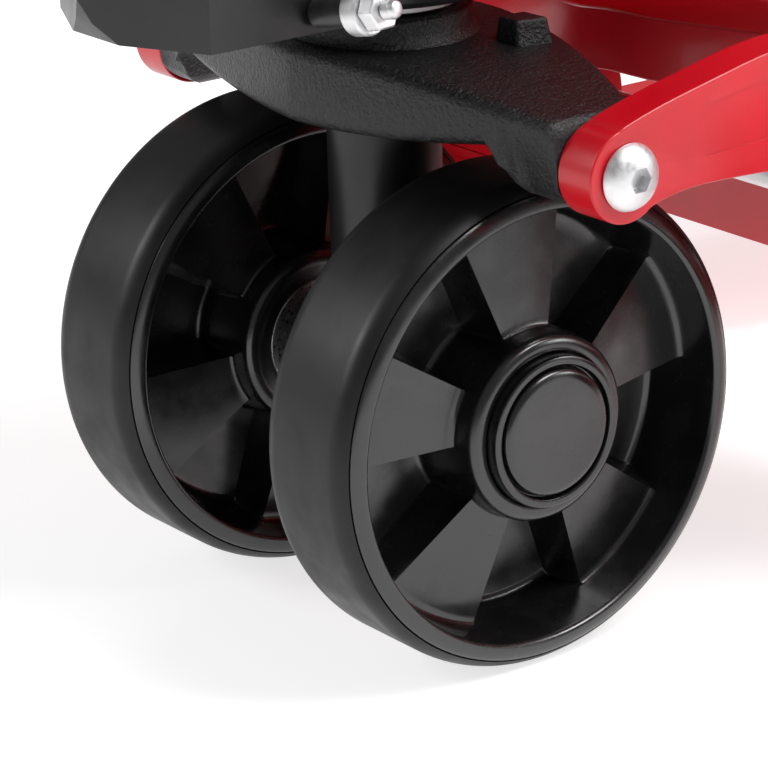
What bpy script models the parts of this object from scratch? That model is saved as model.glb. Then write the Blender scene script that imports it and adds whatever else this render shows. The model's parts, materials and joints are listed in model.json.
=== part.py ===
"""Hand pallet truck: forks, lifting linkage, steerable pump unit with two wheels, and handle.

Lengths below are in millimetres and MM turns them into metres.  +X runs along the forks from the
handle end to the tips, +Y is the truck's left side and the floor is z = 0.  Shapes are laid out from
the steering axis (king axis), which stands at x = KING_X in the finished model.
"""
import math
import bmesh
import bpy
from mathutils import Matrix, Vector

MM = 0.001
KING_X = -596.6          # puts the middle of the whole truck's length on x = 0
GAP = 0.3                # clearance between neighbouring pieces

# steering wheels
WHEEL_R = 90.0
WHEEL_W = 50.0
WHEEL_Y = 66.8           # wheel centre to the truck's middle plane
CORE_R = 86.0
HUB_R = 34.5
SPOKES = 5
SPOKE_PHASE = 92.7       # direction of one raised spoke on the outer face, degrees
SPOKE_HALF = 16.4         # half of a pocket's angle, degrees
SHOULDER = 10.0          # radius of the rounded tread corner
AXLE_R = 10.0
BEARING_R = 23.5

# base bracket and arms
PIVOT = (-1.3, 191.8)    # arm pivot, x and z
EAR_OUT = 117.7
ARM_IN = 118.0
ARM_OUT = 135.0
ARM_END_R = 16.5
POST_R = 21.0
BOSS_TOP = 228.0

# lifting linkage
SHAFT = (188.0, 133.0)   # torsion shaft, x and z
SHAFT_R = 10.5
SHAFT_BORE = 10.8
SHAFT_END = 268.5
LEVER_L = 75.0
LEVER_ANGLE = 17.05      # rod lever's lean at rest from straight down, degrees
LEVER_Y = (236.0, 250.0)
ROD_Y = (238.0, 248.0)
TIP = (1255.0, 60.0)     # roller bracket pivot, x and z
ENTRY = (1342.0, 38.0)   # entry roller, x and z
BRACKET_L = 150.0
BRACKET_ANGLE = 188.8    # from the pivot to the load roller, degrees
LUG_L = 61.0
LUG_ANGLE = 200.0
ROLLER_R = 37.0
ROLLER_W = 70.0

# forks and head
FORK_IN = 115.0
FORK_OUT = 275.0
FORK_Y = 195.0
FORK_TOP = 80.0
FORK_BOTTOM = 30.0
FORK_HEEL = 227.0
HEEL_NOTCH = 308.0       # where the fork's inner wall begins
STOP_FACE = 236.0        # the fork's flat top begins here, just clear of the load stop
FORK_END = 1385.0
PLATE = 4.0
TOP_Z = 425.3            # underside of the ram seat

# handle
HANDLE = (-62.0, 345.0)  # handle pivot, x and z
HANDLE_LEAN = 8.0        # from upright, degrees
PUMP_ARM = 26.0
PUMP_ANGLE = 150.0
PUMP_ROLLER_R = 14.0
PRESS_X = -84.0          # plunger, under the pump roller
CONTROL = 733.0          # handle pivot to the control lever's pin
RELEASE = (20.0, 318.0)  # release lever's stud, x and z
STUD_R = 3.0

SIDES = {"right": -1, "left": 1}
PALETTE = {
    "red_paint": ((0.55, 0.01, 0.02), 0.35, 0.0),
    "black_casting": ((0.03, 0.03, 0.032), 0.6, 0.0),
    "black_paint": ((0.03, 0.03, 0.032), 0.4, 0.0),
    "grey_cover": ((0.06, 0.062, 0.065), 0.45, 0.0),
    "wheel_core": ((0.05, 0.05, 0.052), 0.5, 0.0),
    "tread": ((0.04, 0.04, 0.042), 0.6, 0.0),
    "zinc": ((0.7, 0.7, 0.72), 0.3, 1.0),
    "steel": ((0.5, 0.5, 0.52), 0.35, 1.0),
    "chrome": ((0.8, 0.8, 0.82), 0.1, 1.0),
    "nylon": ((0.75, 0.73, 0.66), 0.5, 0.0),
    "black_grip": ((0.02, 0.02, 0.02), 0.55, 0.0),
}


def fresh_scene():
    """Empty the scene and make one collection for the truck and one for its cutters."""
    for obj in list(bpy.data.objects):
        bpy.data.objects.remove(obj, do_unlink=True)
    groups = []
    for name in ("hand_pallet_truck", "cutters"):
        group = bpy.data.collections.new(name)
        bpy.context.scene.collection.children.link(group)
        groups.append(group)
    return groups


PARTS, TOOLS = fresh_scene()
MATERIALS = {}
PIVOTS = {}


# ---------------------------------------------------------------- placing

def material(name):
    """Principled material of the palette, made once."""
    if name not in MATERIALS:
        colour, roughness, metallic = PALETTE[name]
        made = bpy.data.materials.new(name)
        made.use_nodes = True
        shader = made.node_tree.nodes["Principled BSDF"]
        shader.inputs["Base Color"].default_value = (*colour, 1.0)
        shader.inputs["Roughness"].default_value = roughness
        shader.inputs["Metallic"].default_value = metallic
        MATERIALS[name] = made
    return MATERIALS[name]


def pivot(name, x=0.0, y=0.0, z=0.0):
    """Empty on a joint's axis.  Every pivot hangs from the truck's own empty."""
    empty = bpy.data.objects.new(name, None)
    PARTS.objects.link(empty)
    empty.empty_display_size = 0.05
    if name == "truck":
        empty.location = (KING_X * MM, 0, 0)
    else:
        empty.parent = PIVOTS["truck"]
        empty.location = (x * MM, y * MM, z * MM)
    PIVOTS[name] = empty


def carry(obj, where):
    """Hang an object that was laid out in truck coordinates from a pivot."""
    obj.parent = PIVOTS[where]
    if where != "truck":
        obj.location = obj.location - PIVOTS[where].location


def part(obj, name, look, where="truck"):
    """Make a finished shape one of the truck's named pieces."""
    TOOLS.objects.unlink(obj)
    PARTS.objects.link(obj)
    obj.name = name
    obj.hide_render = False
    obj.display_type = "TEXTURED"
    obj.data.materials.clear()
    obj.data.materials.append(material(look))
    carry(obj, where)
    return obj


# ---------------------------------------------------------------- shapes

def tool(name, mesh):
    """Put a mesh in the cutters' collection, where every shape starts."""
    obj = bpy.data.objects.new(name, mesh)
    TOOLS.objects.link(obj)
    obj.hide_render = True
    obj.display_type = "WIRE"
    return obj


def from_bmesh(name, bm):
    mesh = bpy.data.meshes.new(name)
    bm.to_mesh(mesh)
    bm.free()
    return tool(name, mesh)


def block(low, high, bevel=0.0):
    """Box between two corners."""
    size = [(b - a) * MM for a, b in zip(low, high)]
    centre = Vector([(a + b) * MM / 2 for a, b in zip(low, high)])
    bm = bmesh.new()
    matrix = Matrix.Diagonal((*size, 1.0))
    bmesh.ops.create_cube(bm, size=1.0, matrix=matrix)
    obj = from_bmesh("block", bm)
    obj.location = centre
    if bevel:
        soften(obj, bevel)
    return obj


def rod(start, end, radius, sides=16, end_radius=None):
    """Round bar, or a cone with a second radius, between two points."""
    a = Vector(start) * MM
    b = Vector(end) * MM
    last = radius if end_radius is None else end_radius
    bm = bmesh.new()
    bmesh.ops.create_cone(bm, cap_ends=True, segments=sides, radius1=radius * MM,
                          radius2=last * MM, depth=(b - a).length)
    obj = from_bmesh("rod", bm)
    obj.matrix_world = Matrix.Translation((a + b) / 2) @ (b - a).to_track_quat("Z", "Y").to_matrix().to_4x4()
    return smooth(obj)


def smooth(obj):
    obj.data.shade_smooth()
    obj.data.set_sharp_from_angle(angle=math.radians(35))
    return obj


def soften(obj, width, segments=1):
    """Bevel the edges of a shape whose scale is already applied."""
    modifier = obj.modifiers.new("soften", "BEVEL")
    modifier.width = width * MM
    modifier.segments = segments
    modifier.limit_method = "ANGLE"
    modifier.angle_limit = math.radians(40)
    return obj


def turned(profile, centre, axis, sides=24, ring=True):
    """Turned piece: (radius, height) points run outwards along the top and down the outer side."""
    mesh = bpy.data.meshes.new("turned")
    points = [(r * MM, 0.0, h * MM) for r, h in profile]
    edges = [(i, i + 1) for i in range(len(points) - 1)]
    if ring:
        edges.append((len(points) - 1, 0))
    mesh.from_pydata(points, edges, [])
    obj = tool("turned", mesh)
    screw = obj.modifiers.new("turn", "SCREW")
    screw.steps = sides
    screw.render_steps = sides
    screw.use_merge_vertices = True
    screw.merge_threshold = 0.00001
    screw.use_smooth_shade = True
    turn = Vector(axis).to_track_quat("Z", "Y").to_matrix().to_4x4()
    obj.matrix_world = Matrix.Translation(Vector(centre) * MM) @ turn
    return obj


def ring(start, end, inner, outer, sides=20):
    """Plain bush or washer between two points on its axis."""
    a = Vector(start)
    b = Vector(end)
    half = (b - a).length / 2
    profile = [(inner, half), (outer, half), (outer, -half), (inner, -half)]
    return turned(profile, (a + b) / 2, b - a, sides)


def arc(centre, radius, start, end, steps):
    """Points along an arc, angles in degrees."""
    points = []
    for i in range(steps + 1):
        angle = math.radians(start + (end - start) * i / steps)
        points.append((centre[0] + radius * math.cos(angle), centre[1] + radius * math.sin(angle)))
    return points


PLANES = {
    "X": Matrix(((0, 0, 1), (1, 0, 0), (0, 1, 0))),
    "Y": Matrix(((1, 0, 0), (0, 0, -1), (0, 1, 0))),
    "Z": Matrix.Identity(3),
}


def slab(outline, normal, low, high):
    """Flat outline made solid between two levels along X, Y or Z."""
    low, high = min(low, high), max(low, high)
    curve = bpy.data.curves.new("outline", "CURVE")
    curve.dimensions = "2D"
    curve.fill_mode = "BOTH"
    curve.extrude = (high - low) / 2 * MM
    spline = curve.splines.new("POLY")
    spline.points.add(len(outline) - 1)
    for point, (a, b) in zip(spline.points, outline):
        point.co = (a * MM, b * MM, 0.0, 1.0)
    spline.use_cyclic_u = True
    obj = bpy.data.objects.new("outline", curve)
    place = Vector([(low + high) / 2 * MM if name == normal else 0.0 for name in "XYZ"])
    return solid_from_curve(obj, Matrix.Translation(place) @ PLANES[normal].to_4x4())


def pipe(points, radius, resolution=3, closed=False):
    """Round bar along a row of points."""
    curve = bpy.data.curves.new("pipe", "CURVE")
    curve.dimensions = "3D"
    curve.bevel_depth = radius * MM
    curve.bevel_resolution = resolution
    curve.use_fill_caps = True
    spline = curve.splines.new("POLY")
    spline.points.add(len(points) - 1)
    for point, place in zip(spline.points, points):
        point.co = (*[value * MM for value in place], 1.0)
    spline.use_cyclic_u = closed
    obj = bpy.data.objects.new("pipe", curve)
    return smooth(solid_from_curve(obj, Matrix.Identity(4)))


def solid_from_curve(obj, matrix):
    """Closed mesh from a curve object, its caps welded."""
    TOOLS.objects.link(obj)
    obj.matrix_world = matrix
    graph = bpy.context.evaluated_depsgraph_get()
    mesh = bpy.data.meshes.new_from_object(obj.evaluated_get(graph))
    bm = bmesh.new()
    bm.from_mesh(mesh)
    bmesh.ops.remove_doubles(bm, verts=bm.verts, dist=0.00001)
    bmesh.ops.recalc_face_normals(bm, faces=bm.faces)
    bm.to_mesh(mesh)
    bm.free()
    made = tool("solid", mesh)
    made.matrix_world = matrix
    bpy.data.objects.remove(obj, do_unlink=True)
    return made


def combine(target, operation, others):
    for other in others:
        modifier = target.modifiers.new(operation.lower(), "BOOLEAN")
        modifier.operation = operation
        modifier.solver = "EXACT"
        modifier.object = other
        carry(other, "truck")
    return target


def cut(target, *others):
    return combine(target, "DIFFERENCE", others)


def join(target, *others):
    return combine(target, "UNION", others)


def link_outline(first, first_r, second, second_r, steps=6):
    """Outline of a strap with round ends of unlike radius."""
    dx = second[0] - first[0]
    dz = second[1] - first[1]
    heading = math.degrees(math.atan2(dz, dx))
    spread = math.degrees(math.acos((first_r - second_r) / math.hypot(dx, dz)))
    around = arc(first, first_r, heading + spread, heading + 360 - spread, steps)
    return around + arc(second, second_r, heading - spread, heading + spread, steps)


def polar(origin, length, degrees):
    angle = math.radians(degrees)
    return (origin[0] + length * math.cos(angle), origin[1] + length * math.sin(angle))


def across(x, z, y0, y1, radius, sides=20):
    """Round bar across the truck."""
    return rod((x, y0, z), (x, y1, z), radius, sides)


# ---------------------------------------------------------------- forks and head

def fork_outline(inset):
    """Fork seen from above for the left side, walls moved in by inset."""
    inner = FORK_IN + inset
    outer = FORK_OUT - inset
    heel = FORK_HEEL - (20 if inset else 0)
    nose = FORK_END - inset
    root = [(heel, inner)]
    if inset:
        root = [(heel, FORK_IN - 5), (HEEL_NOTCH, FORK_IN - 5), (HEEL_NOTCH, inner)]
    return root + [(1290, inner), (nose - 22, FORK_Y - 48 + inset), (nose - 6, FORK_Y - 38 + inset),
            (nose, FORK_Y - 22), (nose, FORK_Y + 22), (nose - 6, FORK_Y + 38 - inset),
            (nose - 22, FORK_Y + 48 - inset), (1290, outer), (heel, outer)]


def mirrored(outline, side):
    return [(a, b * side) for a, b in outline]


def fork(side_name, side):
    """Channel section with a closed, sloping nose, drilled for the tip pins."""
    body = slab(mirrored(fork_outline(0), side), "Z", FORK_BOTTOM, FORK_TOP)
    hollow = slab(mirrored(fork_outline(PLATE), side), "Z", FORK_BOTTOM - 10, FORK_TOP - PLATE)
    slope = [(1300, FORK_TOP), (FORK_END + 10, 56), (FORK_END + 10, FORK_TOP + 20), (1300, FORK_TOP + 20)]
    under = [(a, b - PLATE) for a, b in slope]
    cut(hollow, slab(under, "Y", side * 100, side * 290))
    low_y, high_y = sorted((side * 100, side * 290))
    step = block((FORK_HEEL - 1, low_y, FORK_TOP - 0.2), (STOP_FACE, high_y, FORK_TOP + 5))
    cut(body, slab(slope, "Y", side * 100, side * 290), hollow, step)
    pins = [across(TIP[0], TIP[1], side * 100, side * 290, AXLE_R + GAP),
            across(*ENTRY, side * 130, side * 260, 5 + GAP, 16)]
    part(cut(body, *pins), "fork_" + side_name, "red_paint")


def head():
    """Welded head: load stop, sloping back plate, cheeks, front wall and the ram's seat."""
    stop = slab([(-FORK_OUT, 80.3), (FORK_OUT, 80.3), (FORK_OUT, 165), (230, 190), (-230, 190),
                 (-FORK_OUT, 165)], "X", 227, 235)
    back = slab([(226.7, 196), (232, 190.3), (232, 198), (134, TOP_Z - GAP), (128, TOP_Z - GAP)], "Y", -112, 112)
    part(back, "head_plate", "red_paint")
    plates = []
    windows = []
    for name, side in SIDES.items():
        near, far = sorted((side * 104, side * 164))
        windows.append(block((220, near, 116), (240, far, 142)))
        cheek = [(226.7, 156), (226.7, 195), (127.5, TOP_Z - GAP), (96, TOP_Z - GAP), (90, 330), (112.7, 240),
                 (117.5, 162), (124, 156)]
        part(slab(cheek, "Y", side * 106, side * 112), "cheek_" + name, "red_paint")
        plate = [(164, 92), (172, 45), (290, 45), (290, 75.7), (226.5, 75.7), (226.5, 81), (229, 81), (229, 160),
                 (205, 160), (164, 150)]
        plates.append(slab(plate, "Y", side * 263, side * 270.7))
    join(stop, *plates)
    cut(stop, across(*SHAFT, -280, -255, SHAFT_BORE), across(*SHAFT, 255, 280, SHAFT_BORE), *windows)
    part(stop, "load_stop_plate", "red_paint")
    wall = [(86, 0), (86, 9), (90, 19), (91, 41), (101, 75), (112, 105.7)]
    inner = [(x + 5, y) for x, y in wall]
    left = wall + inner[::-1]
    outline = [(x, -y) for x, y in wall[:0:-1]] + left + [(x, -y) for x, y in inner[1:]]
    lip = [(x + 2, -y) for x, y in wall[:0:-1]] + [(x + 2, y) for x, y in wall]
    shelf = lip + [(140, 105.7), (140, -105.7)]
    part(join(slab(outline, "Z", 190, 214), slab(shelf, "Z", 209, 214)), "front_wall", "red_paint")
    seat = [(-25, -22), (-17, -30), (62, -30), (78, -36), (96, -112), (133.5, -112), (133.5, 112), (96, 112),
            (78, 36), (62, 30), (-17, 30), (-25, 22)]
    part(soften(slab(seat, "Z", TOP_Z, TOP_Z + 11.7), 1.0), "top_plate", "red_paint")


# ---------------------------------------------------------------- lifting linkage

def crank_arm(name, side):
    """Lifting arm: flat over the bracket's ear, then a shallow arch down to the torsion shaft."""
    x, z = PIVOT
    top = [(-3.5, 209), (14.5, 214), (38, 218.8), (61.5, 223.6), (84, 225), (108, 220), (132, 208), (156, 188)]
    bottom = [(152, 120), (126, 150), (103, 170), (84, 178.5), (62.4, 181.2), (29, 182.8), (14.8, 180.7)]
    outline = top + arc(SHAFT, 30, 60, -130, 8) + bottom + arc((x, z), ARM_END_R, -50, -258, 8)
    arm = slab(outline, "Y", side * ARM_IN, side * ARM_OUT)
    soften(arm, 1.5)
    bores = [across(x, z, side * 100, side * 150, 8.3), across(*SHAFT, side * 100, side * 150, SHAFT_BORE)]
    part(cut(arm, *bores), "crank_arm_" + name, "red_paint", "lift_pivot")


def rod_lever(name, side):
    """Short lever on the torsion shaft that pushes one push rod."""
    low = polar(SHAFT, LEVER_L, 270 - LEVER_ANGLE)
    lever = slab(link_outline(SHAFT, 24, low, 13), "Y", side * LEVER_Y[0], side * LEVER_Y[1])
    slot = slab(arc(low, 26, 0, 360, 16)[:-1], "Y", side * (ROD_Y[0] - GAP), side * (ROD_Y[1] + GAP))
    cut(lever, across(*SHAFT, side * 200, side * 265, SHAFT_BORE), slot)
    join(lever, across(*low, side * 234, side * 252, 6, 16))
    part(lever, "rod_lever_" + name, "black_casting", "lift_pivot")


def push_rod(name, side):
    """Flat push rod with an eye at each end; the tip eye is wide, so that the roller lug can wander."""
    low = polar(SHAFT, LEVER_L, 270 - LEVER_ANGLE)
    lug = polar(TIP, LUG_L, LUG_ANGLE)
    heading = math.degrees(math.atan2(lug[1] - low[1], lug[0] - low[0]))
    near = polar(low, 60, heading)
    far = polar(lug, -60, heading)
    outline = (arc(low, 12, 75, 285, 8) + [polar(near, 7, heading - 90), polar(far, 7, heading - 90)]
               + arc(lug, 16.5, -90, 90, 8) + [polar(far, 7, heading + 90), polar(near, 7, heading + 90)])
    bar = slab(outline, "Y", side * ROD_Y[0], side * ROD_Y[1])
    holes = [across(*low, side * 220, side * 260, 6.3, 16), across(*lug, side * 220, side * 260, 12, 20)]
    part(cut(bar, *holes), "push_rod_" + name, "black_paint", "rod_pivot_" + name)


def roller_bracket(name, side):
    """Two side straps and a web that hold one load roller under the fork's tip."""
    roller = polar(TIP, BRACKET_L, BRACKET_ANGLE)
    lug = polar(TIP, LUG_L, LUG_ANGLE)
    outer = slab(link_outline(TIP, 14, roller, 15), "Y", side * (FORK_Y + 36), side * (FORK_Y + 42))
    inner = slab(link_outline(TIP, 14, roller, 15), "Y", side * (FORK_Y - 42), side * (FORK_Y - 36))
    low_y, high_y = sorted((side * (FORK_Y - 38), side * (FORK_Y + 38)))
    web = block((TIP[0] - 96, low_y, 50), (TIP[0] - 22, high_y, 56))
    eye = slab(arc(lug, 13, 0, 360, 16)[:-1], "Y", side * (FORK_Y + 36), side * (FORK_Y + 42))
    frame = join(outer, inner, web, eye, across(*lug, side * (FORK_Y + 36.5), side * 251, 5, 16))
    cut(frame, across(*TIP, side * 100, side * 290, AXLE_R + GAP), across(*roller, side * 100, side * 290, 8.3))
    where = "tip_pivot_" + name
    part(frame, "roller_bracket_" + name, "black_paint", where)
    part(across(*TIP, side * 116, side * 274, AXLE_R), "tip_pin_" + name, "steel")
    part(across(*roller, side * (FORK_Y - 42.5), side * (FORK_Y + 42.5), 8), "roller_axle_" + name, "steel", where)
    load_roller(name, side, roller)
    entry_roller(name, side)


def load_roller(name, side, centre):
    half = ROLLER_W / 2
    profile = [(8.4, half), (ROLLER_R - 2.5, half), (ROLLER_R, half - 2.5), (ROLLER_R, 2.5 - half),
               (ROLLER_R - 2.5, -half), (8.4, -half)]
    roller = turned(profile, (centre[0], side * FORK_Y, centre[1]), (0, 1, 0), 28)
    part(roller, "load_roller_" + name, "nylon", "roller_pivot_" + name)


def entry_roller(name, side):
    """Small roller in the fork's nose, with trunnions that turn in the walls."""
    profile = [(0, 56), (5, 56), (5, 25), (12, 25), (13, 24), (13, -24), (12, -25), (5, -25), (5, -56), (0, -56)]
    small = turned(profile, (ENTRY[0], side * FORK_Y, ENTRY[1]), (0, 1, 0), 14, ring=False)
    part(small, "entry_roller_" + name, "nylon", "entry_pivot_" + name)


# ---------------------------------------------------------------- base bracket

def front_edge(y):
    return -42 + 22 * (abs(y) / 118) ** 1.3


def back_edge(y):
    return 52 - 34 * (abs(y) / 118) ** 1.6


def base_bracket():
    """Casting that carries the arms: bowed beam, king post boss, two ears and two steering stops."""
    steps = [EAR_OUT * (i / 8 - 1) for i in range(17)]
    plan = [(front_edge(y), y) for y in steps] + [(back_edge(y), y) for y in reversed(steps)]
    beam = slab(plan, "Z", 183, 224)
    crown = [(y, 219 - 10 * (y / 118) ** 2) for y in steps]
    above = [(-130, 240), (-130, 209)] + crown + [(130, 209), (130, 240)]
    below = [(-130, 170), (-130, PIVOT[1]), (-101, PIVOT[1]), (-88, 197), (-45, 193.5), (0, 190), (45, 193.5),
             (88, 197), (101, PIVOT[1]), (130, PIVOT[1]), (130, 170)]
    cut(beam, slab(above, "X", -80, 90), slab(below, "X", -80, 90))
    ears = [across(*PIVOT, side * 100, side * EAR_OUT, 17, 24) for side in SIDES.values()]
    boss = rod((0, 0, 192), (0, 0, BOSS_TOP), 33, 32)
    stops = [rod((27, side * 46, 205), (27, side * 46, 226), 9.2, 4, 7.5) for side in SIDES.values()]
    join(beam, boss, *ears, *stops)
    threads = [across(*PIVOT, side * 92, side * 120, 8.3, 20) for side in SIDES.values()]
    cut(beam, rod((0, 0, 150), (0, 0, 250), POST_R + 0.4, 28), *threads)
    part(beam, "base_bracket", "black_casting", "bracket_pivot")


def pivot_screws():
    """Two button-head screws that hold the arms to the ears."""
    x, z = PIVOT
    for name, side in SIDES.items():
        profile = [(0, 6.2), (5, 6.2), (9, 4.8), (11.2, 2.4), (11.8, 0), (8, 0), (8, -41), (0, -41)]
        screw = turned(profile, (x, side * (ARM_OUT + GAP), z), (0, side, 0), 20, ring=False)
        hexagon = rod((x, side * (ARM_OUT + 2.6), z), (x, side * (ARM_OUT + 12), z), 4.6, 6)
        part(cut(screw, hexagon), "pivot_screw_" + name, "zinc", "bracket_pivot")


# ---------------------------------------------------------------- pump unit

def pump_body():
    """Casting with the king post below, the pump block and the cylinder above."""
    profile = [(0, 395), (33, 395), (34, 394), (34, 300), (46, 292), (46, 236), (44, 234.7), (POST_R, 234.7),
               (POST_R, 90), (0, 90)]
    body = turned(profile, (0, 0, 0), (0, 0, 1), 28, ring=False)
    axle_boss = across(0, 90, -38, 38, 19, 24)
    plunger_boss = rod((PRESS_X, 0, 257), (PRESS_X, 0, 282), 15, 20)
    bridge = block((PRESS_X, -14, 258), (-20, 14, 280))
    ears = [slab(link_outline((-14, 318), 18, HANDLE, 14), "Y", side * 13, side * 24) for side in SIDES.values()]
    stud = across(*RELEASE, 20, 44, STUD_R, 12)
    join(body, axle_boss, plunger_boss, bridge, stud, *ears)
    bores = [rod((0, 0, 262), (0, 0, 410), 14.5, 24), across(0, 90, -60, 60, AXLE_R + GAP, 20),
             rod((PRESS_X, 0, 250), (PRESS_X, 0, 300), 8.4, 20), across(*HANDLE, -60, 60, 8.3, 20)]
    part(cut(body, *bores), "pump_body", "grey_cover", "steer_axis")


def front_cover():
    """Prow-shaped cover round the front of the pump, open at the back."""
    outline = [(-50, -46), (-106, -46), (-128, 0), (-106, 46), (-50, 46)]
    space = [(-40, -42), (-103.5, -42), (-123, 0), (-103.5, 42), (-40, 42)]
    chin = [(-100, 228.5), (-140, 228.5), (-140, 262), (-128.6, 251), (-125.5, 241), (-120.5, 233.5)]
    body = slab(outline, "Z", 234.5, 312)
    chin_cut = slab(chin, "Y", -60, 60)
    opening = rod((PRESS_X, 0, 300), (PRESS_X, 0, 330), 20, 20)
    well = rod((PRESS_X, 0, 242), (PRESS_X, 0, 262), 10, 20)
    cavity = slab(space, "Z", 256, 308)
    part(cut(body, chin_cut, cavity, opening, well), "front_cover", "grey_cover", "steer_axis")


def pump_details():
    """Bearing, gland, plugs and the lowering adjuster on the pump."""
    bearing = [(POST_R + GAP, 5.4), (28.7, 5.4), (28.7, 0), (POST_R + GAP, 0)]
    part(turned(bearing, (0, 0, 229), (0, 0, 1), 32), "thrust_bearing", "zinc", "steer_axis")
    part(ring((0, 0, 395.3), (0, 0, 404), 14.5, 24), "gland_nut", "zinc", "steer_axis")
    filler = join(rod((34.6, 0, 340), (38, 0, 340), 11, 6), rod((37.9, 0, 340), (42, 0, 340), 7, 16))
    part(filler, "filler_plug", "zinc", "steer_axis")
    adjuster()


def adjuster():
    """Sleeve, collar, nut and stud that stand out of the cover's right side."""
    base = Vector((-63, -46, 241.8))
    heading = Vector((0.16, -0.97, 0.18)).normalized()

    def at(distance):
        return base + heading * distance

    sleeve = join(rod(at(1.8), at(19.8), 5.2, 20), rod(at(19.5), at(26.5), 8.6, 28))
    part(sleeve, "adjuster_sleeve", "zinc", "steer_axis")
    part(rod(at(26.8), at(33), 7.4, 6), "adjuster_nut", "zinc", "steer_axis")
    stud = join(rod(at(33.3), at(37.8), 3.4, 16), rod(at(37.7), at(38.8), 3.4, 16, 2.7))
    part(stud, "adjuster_stud", "zinc", "steer_axis")


def ram():
    """Ram with a rounded head that lifts the top plate."""
    profile = [(0, 424.3), (7, 423.6), (12, 419.5), (14, 415), (14, 266), (0, 266)]
    part(turned(profile, (0, 0, 0), (0, 0, 1), 24, ring=False), "ram", "chrome", "steer_axis")


def plunger():
    """Pump plunger, its return spring and the cap that the pump roller presses."""
    part(rod((PRESS_X, 0, 277), (PRESS_X, 0, 334.7), 8, 20), "pump_plunger", "chrome", "steer_axis")
    cap = [(0, 342.3), (11, 342.3), (12.4, 340.5), (12.4, 335), (0, 335)]
    part(turned(cap, (PRESS_X, 0, 0), (0, 0, 1), 20, ring=False), "spring_cap", "steel", "steer_axis")
    turns = 5
    steps = 8
    low, high = 284.0, 333.0
    coil = []
    for i in range(turns * steps + 1):
        angle = 2 * math.pi * i / steps
        coil.append((PRESS_X + 10.8 * math.cos(angle), 10.8 * math.sin(angle), low + (high - low) * i / (turns * steps)))
    part(pipe(coil, 1.5, 0), "plunger_spring", "steel", "steer_axis")


def release_lever():
    """Small lever on the pump that opens the lowering valve, under the handle's pull rod."""
    tip = (RELEASE[0], RELEASE[1] + 30)
    lever = slab(link_outline(RELEASE, 7, tip, 5), "Y", 37, 42)
    part(cut(lever, across(*RELEASE, 30, 50, STUD_R + GAP, 12)), "release_lever", "zinc", "release_pivot")


# ---------------------------------------------------------------- wheels

def sector(middle, half, inner, outer):
    """Outline of one pocket between two spokes."""
    return (arc((0, 0), outer, middle - half, middle + half, 6)
            + arc((0, 0), inner, middle + half, middle - half, 3))


def wheel(name, side):
    """Core with five spokes raised on each face, solid tread, two bearings and a hub cap."""
    half = WHEEL_W / 2
    web = 10.0
    face = [(28.1, half), (HUB_R, half), (HUB_R + 1, web), (77, web), (80.3, half), (CORE_R, half - 2)]
    back = [(r, -h) for r, h in reversed(face[1:])]
    bore = [(23.8, -half), (23.8, 18.7), (28.1, 18.7)]
    where = "wheel_pivot_" + name
    centre = (0, side * WHEEL_Y, 90)
    core = turned(face + back + bore, centre, (0, side, 0), 36)
    pockets = []
    for level, turn in ((1, 36.0), (-1, 0.0)):
        for i in range(SPOKES):
            middle = SPOKE_PHASE + turn + 72.0 * i
            outline = sector(middle, SPOKE_HALF, 37.5, 75.5)
            low, high = sorted((side * (WHEEL_Y + level * 20), side * (WHEEL_Y - level * 6)))
            pocket = slab(outline, "Y", low, high)
            pocket.location = pocket.location + Vector((0, 0, 90 * MM))
            pockets.append(pocket)
    part(cut(core, *pockets), "wheel_core_" + name, "wheel_core", where)
    lip = [(CORE_R + GAP, half - 2.3)] + arc((80, half - SHOULDER), SHOULDER, 42, 0, 3)
    tread = lip + [(r, -h) for r, h in reversed(lip)]
    part(turned(tread, centre, (0, side, 0), 44), "wheel_tread_" + name, "tread", where)
    for label, start in (("outer", 4), ("inner", -24)):
        bearing = ring((0, side * (WHEEL_Y + start), 90), (0, side * (WHEEL_Y + start + 14), 90),
                       AXLE_R + GAP, BEARING_R, 20)
        part(bearing, f"{label}_bearing_{name}", "steel", where)
    cap = [(0, 30.3), (22.3, 30.3), (23.6, 27.4), (25, 29.2), (27.8, 29.2), (27.8, 19), (0, 19)]
    part(turned(cap, centre, (0, side, 0), 28, ring=False), "hub_cap_" + name, "wheel_core", where)


def axle():
    bar = across(0, 90, -85.3, 85.3, AXLE_R, 20)
    part(bar, "wheel_axle", "steel", "steer_axis")


# ---------------------------------------------------------------- handle

def along(distance, sideways=0.0, y=0.0):
    """Point on the handle's own line, measured from its pivot."""
    lean = math.radians(HANDLE_LEAN)
    x = HANDLE[0] - distance * math.sin(lean) + sideways * math.cos(lean)
    z = HANDLE[1] + distance * math.cos(lean) + sideways * math.sin(lean)
    return (x, y, z)


def handle_base():
    """Forked casting: two cheeks on the pivot pin, the pump roller between them, a socket for the tube."""
    roller = polar(HANDLE, PUMP_ARM, PUMP_ANGLE)
    tie = along(58)
    cheeks = []
    for side in SIDES.values():
        outline = link_outline(HANDLE, 16, (tie[0], tie[2]), 20)
        ear = slab(outline, "Y", side * 25, side * 34)
        horn = slab(link_outline(HANDLE, 15, roller, 11), "Y", side * 25, side * 34)
        cheeks.append(join(ear, horn))
    bridge = rod(along(44), along(84), 30, 20, 26)
    socket = rod(along(80), along(120), 23, 20)
    body = join(bridge, cheeks[0], cheeks[1], socket)
    cut(body, across(*HANDLE, -60, 60, 8.3, 20), across(*roller, -60, 60, 6.3, 16),
        rod(along(70), along(140), 17.4, 20))
    part(body, "handle_base", "black_casting", "handle_pivot")
    part(across(*HANDLE, -36, 36, 8), "handle_pin", "steel", "handle_pivot")
    part(across(*roller, -36, 36, 6, 16), "pump_roller_pin", "steel", "handle_pivot")
    wheel_ring = ring((roller[0], -10, roller[1]), (roller[0], 10, roller[1]), 6.4, PUMP_ROLLER_R, 24)
    part(wheel_ring, "pump_roller", "steel", "pump_roller_pivot")


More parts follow.
